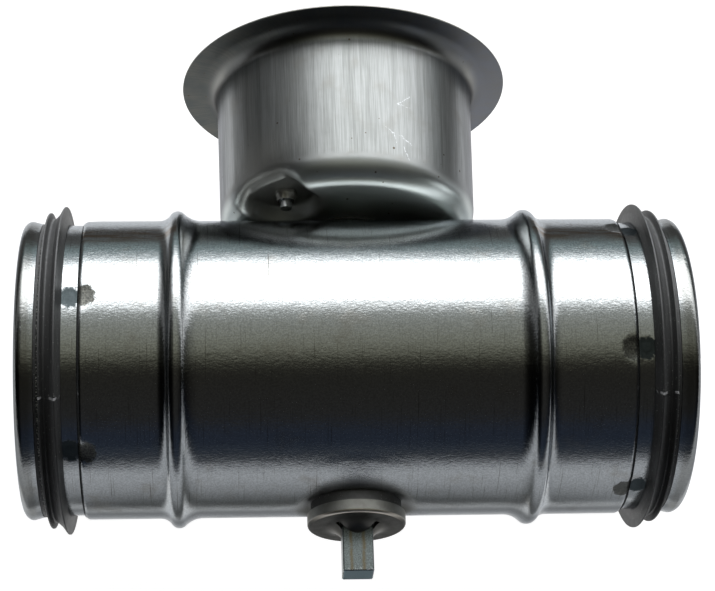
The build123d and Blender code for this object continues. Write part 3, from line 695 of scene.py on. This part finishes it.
def make_piece(name, points_mm, faces, material, body, slot, *replaced):
    """A smooth closed piece in its place, on its body, standing for the CAD nodes that it replaces."""
    mesh = bpy.data.meshes.new(name)
    mesh.from_pydata((np.asarray(points_mm) * MM).tolist(), [], np.asarray(faces).tolist())
    shape = bmesh.new()
    shape.from_mesh(mesh)
    bmesh.ops.remove_doubles(shape, verts=shape.verts, dist=1e-7)
    bmesh.ops.recalc_face_normals(shape, faces=shape.faces)
    shape.to_mesh(mesh)
    shape.free()
    mesh.shade_smooth()
    mesh.materials.append(material)
    made = bpy.data.objects.new(name, mesh)
    bpy.context.scene.collection.objects.link(made)
    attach(made, body)
    if replaced:
        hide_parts(*replaced)
    return made


def make_lip_seal(side, node_name):
    """A rubber seal with two thin lips, as it sits on the collar: a little askew, with a butt seam."""
    outline = rounded(list(SEAL_OUTLINE_MM))
    seam = SEAL_SEAM_ANGLE
    near_seam = np.linspace(-1.2, 1.2, 13)
    turns = np.radians(np.sort(np.concatenate([np.arange(0, 360, 1.5) + seam + 1.95, near_seam + seam])))
    along, radius = (column[:, None] for column in outline.T)
    height = np.clip((radius - COLLAR_R_MM - 0.4) / 4.5, 0.0, 1.0)
    along = along + SEAL_LEAN_MM * height * np.cos(turns)
    beside_mm = (turns - math.radians(seam)) * DUCT_R_MM
    notch = SEAL_SEAM_DEPTH_MM * np.exp(-((beside_mm / SEAL_SEAM_WIDTH_MM) ** 2))
    radius = radius - notch * (radius > SEAL_TIP_R_MM)
    points = np.stack([side * along, radius * np.sin(turns), radius * np.cos(turns)], axis=-1)
    faces = grid_faces(len(outline), len(turns), close_rows=True)
    details = (FINISHES["rubber"], "casing", "seal_rubber", node_name)
    return make_piece(node_name, points.reshape(-1, 3), faces, *details)


def shell_profile():
    """Half of the shell's outer face, from its middle to its end: place along the duct and radius."""
    plain = DUCT_R_MM
    places = np.concatenate([np.arange(0.0, 17.5, 0.7), (19.0, 23.0, 28.0, 33.0, 36.5, 38.5, 39.2)])
    rows = [(x, plain) for x in places]
    for run, side in ((BEAD_RUNS_MM[0], -1), (BEAD_RUNS_MM[1], 1)):
        turn = 2 * math.atan(BEAD_HEIGHT_MM / run)
        foot_r = run / math.sin(turn) - BEAD_CREST_R_MM
        foot = [(run - foot_r * math.sin(t), foot_r * (1 - math.cos(t))) for t in np.linspace(0.0, turn, 12)]
        crest = [
            (BEAD_CREST_R_MM * math.sin(t), BEAD_HEIGHT_MM - BEAD_CREST_R_MM * (1 - math.cos(t)))
            for t in np.linspace(turn, 0.0, 8)[1:]
        ]
        half = [(BEAD_PLACE_MM + side * away, plain + rise) for away, rise in foot + crest]
        rows += half if side < 0 else half[-2::-1]
    places = np.concatenate([(52.0, 53.5, 56.0, 59.0), np.arange(62.0, 69.0, 0.55), (69.1, 69.4)])
    rows += [(x, plain) for x in places]
    nip = SHELL_NIP_MM * np.linspace(0.0, 1.0, 5)
    start = SHELL_END_MM - SHELL_NIP_MM
    rows += [(start + step, plain - SHELL_NIP_DROP_MM * (step / SHELL_NIP_MM) ** 1.5) for step in nip]
    return np.array(rows)


def press_seats(points):
    """Flatten the shell where its bearings sit, with a soft skirt round each flat."""
    x, y, z = points[..., 0], points[..., 1], points[..., 2]
    away = np.hypot(x, z)
    beyond = np.maximum(away - SEAT_FLAT_R_MM, 0.0)
    softness = SEAT_SOFTNESS_MM * np.clip(beyond / SEAT_BLEND_MM, 0.0, 1.0)
    high, low = SEAT_HEIGHT_MM + SEAT_SKIRT_SLOPE * beyond, SEAT_HEIGHT_MM - SEAT_SKIRT_SLOPE * beyond
    level = np.abs(y)
    pressed = 0.5 * (level + high - np.sqrt((level - high) ** 2 + softness**2))
    pressed = 0.5 * (pressed + low + np.sqrt((pressed - low) ** 2 + softness**2))
    near = (away < SEAT_FLAT_R_MM + SEAT_REACH_MM) & (level > 20.0)
    return np.stack([x, np.where(near, np.sign(y) * pressed, y), z], axis=-1)


def weld_press(x, turns):
    """How far the shell's edge is pressed in at each spot weld."""
    depth = np.zeros(np.broadcast(x, turns).shape)
    for side, first in ((1, WELD_FIRST["right"]), (-1, WELD_FIRST["left"])):
        off = (np.degrees(turns) - first + WELD_SPACING / 2) % WELD_SPACING - WELD_SPACING / 2
        across = np.radians(off) * DUCT_R_MM / WELD_PRESS_SIZE_MM[1]
        along = (side * x - WELD_PLACE_MM) / WELD_PRESS_SIZE_MM[0]
        inside = np.clip(1.15 - np.hypot(across, along), 0.0, 1.0)
        depth += WELD_PRESS_MM * inside**2 * (3 - 2 * inside)
    return depth


def make_duct_shell():
    """The rolled shell with its beads, bearing seats, holes and pressed weld marks."""
    half = shell_profile()
    profile = np.concatenate([half[:0:-1] * (-1, 1), half])
    quarter = np.arange(64.0, 116.0, 1.0)
    plain = np.arange(116.0, 244.0, 1.6)
    turns = np.radians(np.concatenate([quarter, plain, quarter + 180.0, plain + 180.0]))
    x = profile[:, :1] * np.ones(len(turns))
    radius = profile[:, 1:] - weld_press(profile[:, :1], turns[None])
    outer = press_seats(np.stack([x, radius * np.sin(turns), radius * np.cos(turns)], axis=-1))
    around = np.roll(outer, -1, axis=1) - np.roll(outer, 1, axis=1)
    facing = np.cross(np.gradient(outer, axis=0), around)
    facing /= np.linalg.norm(facing, axis=-1, keepdims=True)
    facing *= np.sign((facing * (outer * (0, 1, 1))).sum(axis=-1, keepdims=True))
    inner = outer - SHELL_SHEET_MM * facing
    faces = grid_faces(len(profile), len(turns))
    flat = outer.reshape(-1, 3)
    from_spindle = np.hypot(flat[:, 0], flat[:, 2])
    faces = faces[from_spindle[faces].mean(axis=1) > CUP_HOLE_R_MM]
    rims = faces[:, [0, 1, 1, 2, 2, 3, 3, 0]].reshape(-1, 2)
    _, first, counts = np.unique(np.sort(rims, axis=1), axis=0, return_index=True, return_counts=True)
    rims = rims[first[counts == 1]]
    at_hole = np.unique(rims[from_spindle[rims].max(axis=1) < 2 * CUP_HOLE_R_MM])
    both = np.concatenate([flat, inner.reshape(-1, 3)])
    for ring in (at_hole, at_hole + len(flat)):
        both[np.ix_(ring, [0, 2])] *= (CUP_HOLE_R_MM / np.hypot(both[ring, 0], both[ring, 2]))[:, None]
    walls = np.stack([rims[:, 0], rims[:, 1], rims[:, 1] + len(flat), rims[:, 0] + len(flat)], axis=1)
    used, numbers = np.unique(np.concatenate([faces, faces + len(flat), walls]), return_inverse=True)
    details = (FINISHES["galvanised"], "casing", "galvanised_shell", "duct_shell")
    make_piece("duct_shell", both[used], numbers.reshape(-1, 4), *details)


def cup_profile():
    """The cup's outer face from the floor hole to the flange rim: radius, height and outward direction."""
    draft = math.atan((CUP_MOUTH_R_MM - CUP_FOOT_R_MM) / (FLANGE_UNDER_MM - CUP_BASE_MM))
    corner_r = CUP_FOOT_R_MM - CUP_CORNER_MM + 0.1
    places = np.concatenate([np.linspace(CUP_HOLE_R_MM, 14.0, 8), np.arange(14.5, corner_r - 0.2, 0.5)])
    rows = [(r, CUP_BASE_MM, 0.0, -1.0) for r in places]
    for turn in np.linspace(-math.pi / 2, draft * -1.0, 24):
        across, up = math.cos(turn), math.sin(turn)
        rows.append((corner_r + CUP_CORNER_MM * across, CUP_BASE_MM + CUP_CORNER_MM * (1 + up), across, up))
    wall_foot = rows[-1]
    bend_middle = (CUP_MOUTH_R_MM + FLANGE_BEND_MM, FLANGE_UNDER_MM - FLANGE_BEND_MM)
    wall_head = (CUP_MOUTH_R_MM, bend_middle[1])
    for height in np.concatenate([np.arange(46.0, 53.0, 0.5), np.arange(54.0, 78.0, 3.0), [79.3]]):
        share = (height - wall_foot[1]) / (wall_head[1] - wall_foot[1])
        radius = wall_foot[0] + share * (wall_head[0] - wall_foot[0])
        rows.append((radius, height, math.cos(draft), -math.sin(draft)))
    for turn in np.linspace(math.pi, math.pi / 2, 16):
        across, up = math.cos(turn), math.sin(turn)
        radius, height = (middle + FLANGE_BEND_MM * part for middle, part in zip(bend_middle, (across, up)))
        rows.append((radius, height, -across, -up))
    rows += [(r, FLANGE_UNDER_MM, 0.0, -1.0) for r in (40.9, 42.5, 44.2, 44.95)]
    return np.array(rows)


def pocket_profile(profile):
    """The cup's face through the middle of the pocket, row for row: radius, height and share of its path."""
    radius, height = profile[:, 0], profile[:, 1]
    walked = np.concatenate([[0.0], np.cumsum(np.hypot(np.diff(radius), np.diff(height)))])
    start = np.interp([POCKET_SPAN_MM[0]], radius[:40], walked[:40])[0]
    end = walked[np.searchsorted(height, POCKET_SPAN_MM[1])]
    run, rise = POCKET_BEND_MM
    turns = np.linspace(0.0, math.pi / 2, 40)
    bend = POCKET_BEND_LEAN * np.sin(turns) + (1.0 - POCKET_BEND_LEAN) * (1.0 - np.cos(turns))
    bend_r = CUP_FOOT_R_MM - run * (1.0 - np.sin(turns))
    path_r = np.concatenate([[POCKET_SPAN_MM[0]], bend_r, [CUP_FOOT_R_MM + 0.16]])
    path_y = np.concatenate([[POCKET_CEILING_MM], POCKET_CEILING_MM + rise * bend, [POCKET_SPAN_MM[1]]])
    path = np.concatenate([[0.0], np.cumsum(np.hypot(np.diff(path_r), np.diff(path_y)))])
    share = (walked - start) / (end - start)
    pressed_r = np.where(share < 0.0, radius, np.interp(share, path / path[-1], path_r))
    pressed_y = np.where(share < 0.0, POCKET_CEILING_MM, np.interp(share, path / path[-1], path_y))
    pressed_r = np.where(share > 1.0, radius, pressed_r)
    pressed_y = np.where(share > 1.0, height, pressed_y)
    return pressed_r, pressed_y, np.clip(share, 0.0, 1.0)


def softened(values, spread, axis):
    """A field smoothed along one of its directions."""
    reach = int(3 * spread) + 1
    weights = np.exp(-0.5 * (np.arange(-reach, reach + 1) / spread) ** 2)
    pads = [(0, 0), (0, 0)]
    pads[axis] = (reach, reach)
    padded = np.pad(values, pads, mode="edge")
    places = np.arange(values.shape[axis])
    shifted = (np.take(padded, places + step, axis=axis) for step in range(len(weights)))
    return sum(weight * field for weight, field in zip(weights / weights.sum(), shifted))


def press_pocket(profile, turns):
    """The cup's face as radius and height, with the pocket blended in round its middle."""
    radius, height = (column[:, None] * np.ones(len(turns)) for column in profile[:, :2].T)
    pressed_r, pressed_y, share = pocket_profile(profile)
    from_x = -radius * np.sin(turns) - POCKET_PLACE_MM[0]
    from_z = radius * np.cos(turns) - POCKET_PLACE_MM[1]
    edge = np.interp(share, POCKET_SHARES, POCKET_EDGES_MM)[:, None]
    half = np.interp(share, POCKET_SHARES, POCKET_EDGE_WIDTHS_MM)[:, None]
    past = np.clip((np.hypot(from_x, from_z) - edge + half) / (2 * half), 0.0, 1.0)
    weight = 1.0 - past**2 * (3 - 2 * past)
    moves = (weight * (pressed_r[:, None] - radius), weight * (pressed_y[:, None] - height))
    crisp, soft = (
        [softened(softened(move, spread, 0), spread, 1) for move in moves] for spread in POCKET_SOFTNESS
    )
    up_wall = np.interp(share, (0.30, 0.50), (0.0, 1.0))[:, None]
    inward, toward_light = (first + up_wall * (second - first) for first, second in zip(crisp, soft))
    return radius + inward, height + toward_light


def make_handle_cup():
    """The drawn cup with its turned-out flange and the soft pocket in its floor."""
    profile = cup_profile()
    start, end = POCKET_ANGLE - POCKET_HALF_ANGLE, POCKET_ANGLE + POCKET_HALF_ANGLE
    turns = np.radians(np.concatenate([np.arange(start, end, 0.75), np.arange(end, 360 + start, 2.25)]))
    out, up = (column[:, None] * np.ones(len(turns)) for column in profile[:, 2:].T)
    away, rise = press_pocket(profile, turns)
    outer = np.stack([-away * np.sin(turns), rise, away * np.cos(turns)], axis=-1)
    across = np.roll(outer, -1, axis=1) - np.roll(outer, 1, axis=1)
    along = np.gradient(outer, axis=0)
    facing = np.cross(along, across)
    facing /= np.linalg.norm(facing, axis=-1, keepdims=True)
    towards = np.stack([-out * np.sin(turns), up, out * np.cos(turns)], axis=-1)
    facing *= np.sign((facing * towards).sum(axis=-1, keepdims=True))
    inner = outer - CUP_SHEET_MM * facing
    rim = np.array([(45.28, 84.92), (45.38, 85.02), (45.40, 85.15), (45.38, 85.28), (45.28, 85.38)])
    rim_r, rim_y = rim[:, :1], rim[:, 1:] * np.ones(len(turns))
    rim = np.stack([-rim_r * np.sin(turns), rim_y, rim_r * np.cos(turns)], axis=-1)
    sheet = np.concatenate([outer, rim, inner[::-1]])
    faces = grid_faces(len(sheet), len(turns), close_rows=True)
    details = (FINISHES["cup"], "casing", "cup_steel", "handle_cup")
    make_piece("handle_cup", sheet.reshape(-1, 3), faces, *details)


def turned_piece(name, outline, place, columns, shape, *details):
    """A turned piece about an axis along Y: outline is (radius, height), shape alters the radius."""
    turns = np.radians(np.arange(columns) * 360.0 / columns)
    radius, height = (column[:, None] * np.ones(columns) for column in np.asarray(outline).T)
    radius, height = shape(radius, height, turns[None] * np.ones(radius.shape))
    points = np.stack([place[0] + radius * np.sin(turns), height, place[1] + radius * np.cos(turns)], axis=-1)
    faces = grid_faces(len(points), columns, close_rows=True)
    return make_piece(name, points.reshape(-1, 3), faces, *details)


def nut_notches(radius, height, turns):
    """The nut's lower end is crimped in at four places."""
    low = np.clip((POCKET_CEILING_MM - 1.3 - height) / 0.8, 0.0, 1.0)
    notch = np.exp(-((((np.degrees(turns) - 40) % 90 - 45) / 11.0) ** 2))
    return radius - 0.30 * low * notch * (radius > 2.3), height


def make_rivet_nut():
    """The nut riveted through the pocket: a flange above the sheet and a crimped body below it."""
    y = POCKET_CEILING_MM
    outline = rounded(
        [
            (2.05, y + 1.3, 0.0),
            (4.30, y + 1.3, 0.15),
            (4.30, y + 0.5, 0.10),
            (2.90, y + 0.5, 0.05),
            (2.90, y - 0.15, 0.10),
            (2.86, y - 0.9, 0.40),
            (2.62, y - 1.7, 0.40),
            (2.45, y - 2.6, 0.18),
            (2.10, y - 2.6, 0.05),
            (2.05, y - 2.0, 0.05),
        ]
    )
    details = (FINISHES["nut"], "casing", "nut_steel", "rivet_nut")
    turned_piece("rivet_nut", outline, LOCK_PLACE_MM, 96, nut_notches, *details)


def rivet_shape(tree, given):
    """One rivet about Z, moulded from a ball: a shank with a domed head at each end."""
    ball = node(tree, "GeometryNodeMeshUVSphere", {"Segments": 48, "Rings": 24, "Radius": 1.0}).outputs[0]
    place = node(tree, "GeometryNodeInputPosition").outputs[0]
    up = node(tree, "ShaderNodeSeparateXYZ", {"Vector": place}).outputs["Z"]
    level = maths(tree, "ABSOLUTE", up)
    foot = math.sin(math.radians(15.0))
    rise = maths(tree, "MAXIMUM", times_plus(tree, level, 1 / (1 - foot), -foot / (1 - foot)), 0.0)
    dome = maths(tree, "SUBTRACT", 1.0, product(tree, rise, rise))
    dome = maths(tree, "SQRT", maths(tree, "MAXIMUM", dome, 0.0))
    beyond = maths(tree, "SUBTRACT", product(tree, given["Head radius"], dome), given["Shank radius"])
    in_head = maths(tree, "GREATER_THAN", level, 0.2)
    radius = times_plus(tree, in_head, beyond, given["Shank radius"])
    half_grip = product(tree, given["Grip"], 0.5)
    height = times_plus(tree, given["Head height"], rise, half_grip)
    height = product(tree, maths(tree, "SIGN", up), height)
    outward = vector_maths(tree, "NORMALIZE", vector_maths(tree, "MULTIPLY", place, (1.0, 1.0, 0.0)))
    across = vector_maths(tree, "SCALE", outward)
    tree.links.new(radius, across.node.inputs["Scale"])
    along = node(tree, "ShaderNodeCombineXYZ", {"Z": height}).outputs[0]
    sockets = {"Geometry": ball, "Position": vector_maths(tree, "ADD", across, along)}
    return node(tree, "GeometryNodeSetPosition", sockets).outputs[0]


def make_blade_rivets():
    """The four rivets through the blade and its clamps, set out by a node tree."""
    tree = bpy.data.node_groups.new("blade_rivets", "GeometryNodeTree")
    kind = {"in_out": "INPUT", "socket_type": "NodeSocketFloat"}
    keys = {size: tree.interface.new_socket(size, **kind).identifier for size in RIVET_SIZES_MM}
    tree.interface.new_socket("Geometry", in_out="OUTPUT", socket_type="NodeSocketGeometry")
    given = node(tree, "NodeGroupInput").outputs
    rivet = rivet_shape(tree, given)
    sockets = {"Size X": given["Spacing across"], "Size Y": given["Spacing along"]}
    corners = node(tree, "GeometryNodeMeshGrid", {**sockets, "Vertices X": 2, "Vertices Y": 2}).outputs[0]
    placed = node(tree, "GeometryNodeInstanceOnPoints", {"Points": corners, "Instance": rivet}).outputs[0]
    middle = node(tree, "ShaderNodeCombineXYZ", {"X": given["Middle"]}).outputs[0]
    sockets = {"Geometry": placed, "Translation": middle, "Rotation": (0.0, math.pi / 2, 0.0)}
    turned = node(tree, "GeometryNodeTransform", sockets).outputs[0]
    smooth = node(tree, "GeometryNodeSetShadeSmooth", {"Geometry": turned}).outputs[0]
    whole = node(tree, "GeometryNodeRealizeInstances", {"Geometry": smooth}).outputs[0]
    sockets = {"Geometry": whole, "Material": FINISHES["nut"]}
    finished = node(tree, "GeometryNodeSetMaterial", sockets).outputs[0]
    node(tree, "NodeGroupOutput", {"Geometry": finished})
    made = bpy.data.objects.new("blade_rivets", bpy.data.meshes.new("blade_rivets_start"))
    bpy.context.scene.collection.objects.link(made)
    steps = made.modifiers.new("rivets", "NODES")
    steps.node_group = tree
    for size, value in RIVET_SIZES_MM.items():
        steps[keys[size]] = value * MM
    evaluated = made.evaluated_get(bpy.context.evaluated_depsgraph_get())
    mesh = bpy.data.meshes.new_from_object(evaluated)
    made.modifiers.remove(steps)
    made.data = mesh
    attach(made, "vane")
    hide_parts("blade_rivets")


FINISHES = {
    "galvanised": finish("galvanised_sheet", galvanised, **{"Specular Tint": (0.55, 0.57, 0.60, 1.0)}),
    "cup": finish("drawn_cup_steel", drawn_cup, **{"Specular Tint": (0.40, 0.40, 0.43, 1.0)}),
    "cap": finish("cap_steel", cap_steel),
    "shaft": finish("shaft_zinc", shaft_zinc),
    "zinc": finish("hardware_zinc", zinc((0.50, 0.52, 0.53), (0.66, 0.68, 0.68), 0.22)),
    "nut": finish("nut_steel", zinc((0.38, 0.37, 0.34), (0.60, 0.59, 0.56), 0.26, 0.2)),
    "rubber": finish("seal_rubber", rubber, metallic=0.0),
    "plastic": finish("bearing_plastic", plastic, metallic=0.0),
}
FINISH_OF = {
    "galvanised": (
        "duct_shell",
        "spigot_collar_left",
        "spigot_collar_right",
        "blade",
        "blade_clamp_upper",
        "blade_clamp_lower",
    ),
    "cup": ("handle_cup",),
    "cap": ("retaining_cap", "upper_clamp_ring"),
    "shaft": ("square_shaft",),
    "nut": ("rivet_nut", "blade_rivets"),
    "zinc": ("lever", "hub_washer", "hub_screw", "locking_washer", "locking_screw"),
    "rubber": ("lip_seal_left", "lip_seal_right", "lower_seal_ring", "upper_seal_washer"),
    "plastic": ("upper_bearing_sleeve", "lower_bearing_sleeve", "upper_journal_bush", "lower_journal_bush"),
}

make_camera()
make_world()
make_floor()
for finish_name, nodes in FINISH_OF.items():
    for name in nodes:
        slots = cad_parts[name].data.materials
        slots.clear()
        slots.append(FINISHES[finish_name])
make_duct_shell()
make_lip_seal(1, "lip_seal_right")
make_lip_seal(-1, "lip_seal_left")
make_handle_cup()
make_rivet_nut()
make_blade_rivets()

bpy.context.scene.view_settings.view_transform = "Standard"
